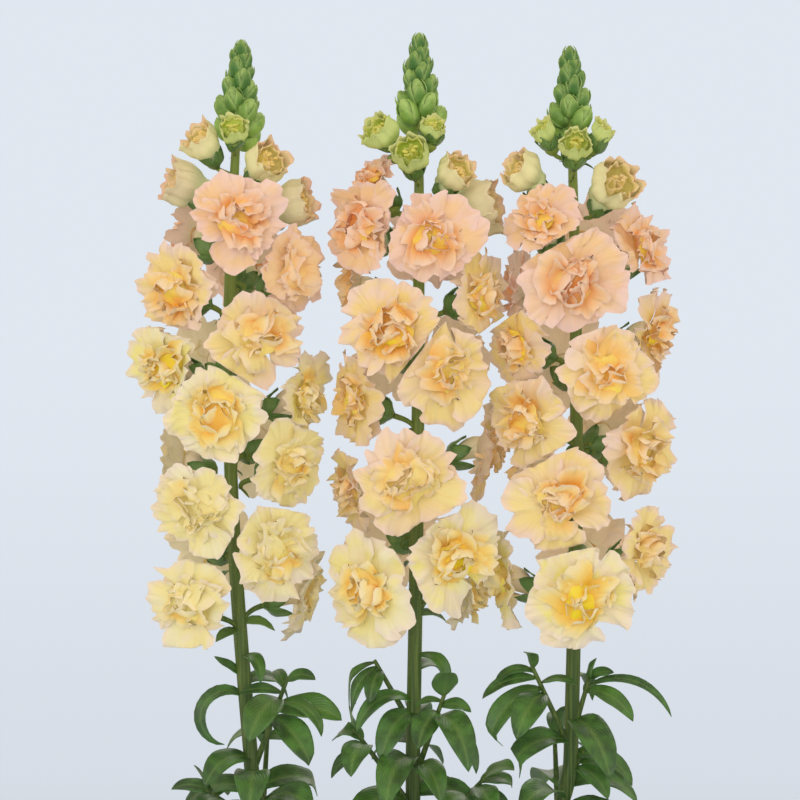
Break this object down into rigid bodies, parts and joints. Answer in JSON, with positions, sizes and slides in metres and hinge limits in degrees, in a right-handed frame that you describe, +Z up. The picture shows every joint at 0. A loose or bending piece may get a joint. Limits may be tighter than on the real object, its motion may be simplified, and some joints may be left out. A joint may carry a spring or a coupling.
{
  "type": "potted snapdragon plant",
  "caption": "Double-flowered snapdragon in a plain pot: leafy stems with upright spikes of ruffled peach to yellow blooms and cones of green buds at their tips.",
  "frame": {"origin": "middle of the pot's flat underside, on the surface it stands on", "axes": "+Z up along the plant's height; -Y is the plant's front, where most of the large blooms face; +X to the right as seen from the front"},
  "size_m": [0.2533, 0.158, 0.577],
  "materials": {
    "pot": "plain moulded nursery pot in terracotta colour, matte with a faint turned texture",
    "soil": "dark moist potting soil of bark, peat and wood fibre, with crumbs and a few pale grains",
    "leaf_green": "living green: dark satin leaves with a paler midrib, ridged stems, yellower buds and half-open flowers",
    "petal_young": "soft thin petals, pink-peach with apricot folds and a paler back",
    "petal_ripe": "soft thin petals, apricot with golden folds, a yellow throat and pinkish edges",
    "petal_old": "soft thin petals, cream-yellow with apricot folds and a bright yellow throat"
  },
  "bodies": {
    "root": {"pot": "pot", "soil": "soil", "left_leafy_stem": "leaf_green", "middle_leafy_stem": "leaf_green", "right_leafy_stem": "leaf_green", "left_bloom_01": "petal_young", "left_bloom_02": "petal_young", "left_bloom_03": "petal_young", "left_bloom_04": "petal_ripe", "left_bloom_05": "petal_ripe", "left_bloom_06": "petal_old", "left_bloom_07": "petal_old", "left_bloom_08": "petal_old", "left_bloom_09": "petal_old", "left_bloom_10": "petal_old", "left_bloom_11": "petal_old", "left_bloom_12": "petal_old", "left_bloom_13": "petal_old", "left_bloom_14": "petal_old", "left_bloom_15": "petal_young", "left_bloom_16": "petal_old", "left_bloom_17": "petal_old", "left_bloom_18": "petal_old", "middle_bloom_01": "petal_young", "middle_bloom_02": "petal_young", "middle_bloom_03": "petal_young", "middle_bloom_04": "petal_ripe", "middle_bloom_05": "petal_ripe", "middle_bloom_06": "petal_ripe", "middle_bloom_07": "petal_ripe", "middle_bloom_08": "petal_ripe", "middle_bloom_09": "petal_ripe", "middle_bloom_10": "petal_ripe", "middle_bloom_11": "petal_ripe", "middle_bloom_12": "petal_old", "middle_bloom_13": "petal_old", "middle_bloom_14": "petal_old", "middle_bloom_15": "petal_young", "middle_bloom_16": "petal_ripe", "middle_bloom_17": "petal_ripe", "middle_bloom_18": "petal_ripe", "right_bloom_01": "petal_young", "right_bloom_02": "petal_young", "right_bloom_03": "petal_young", "right_bloom_04": "petal_young", "right_bloom_05": "petal_ripe", "right_bloom_06": "petal_ripe", "right_bloom_07": "petal_ripe", "right_bloom_08": "petal_ripe", "right_bloom_09": "petal_ripe", "right_bloom_10": "petal_ripe", "right_bloom_11": "petal_ripe", "right_bloom_12": "petal_old", "right_bloom_13": "petal_old", "right_bloom_14": "petal_ripe", "right_bloom_15": "petal_young", "right_bloom_16": "petal_ripe", "right_bloom_17": "petal_ripe", "right_bloom_18": "petal_ripe"}
  },
  "joints": []
}
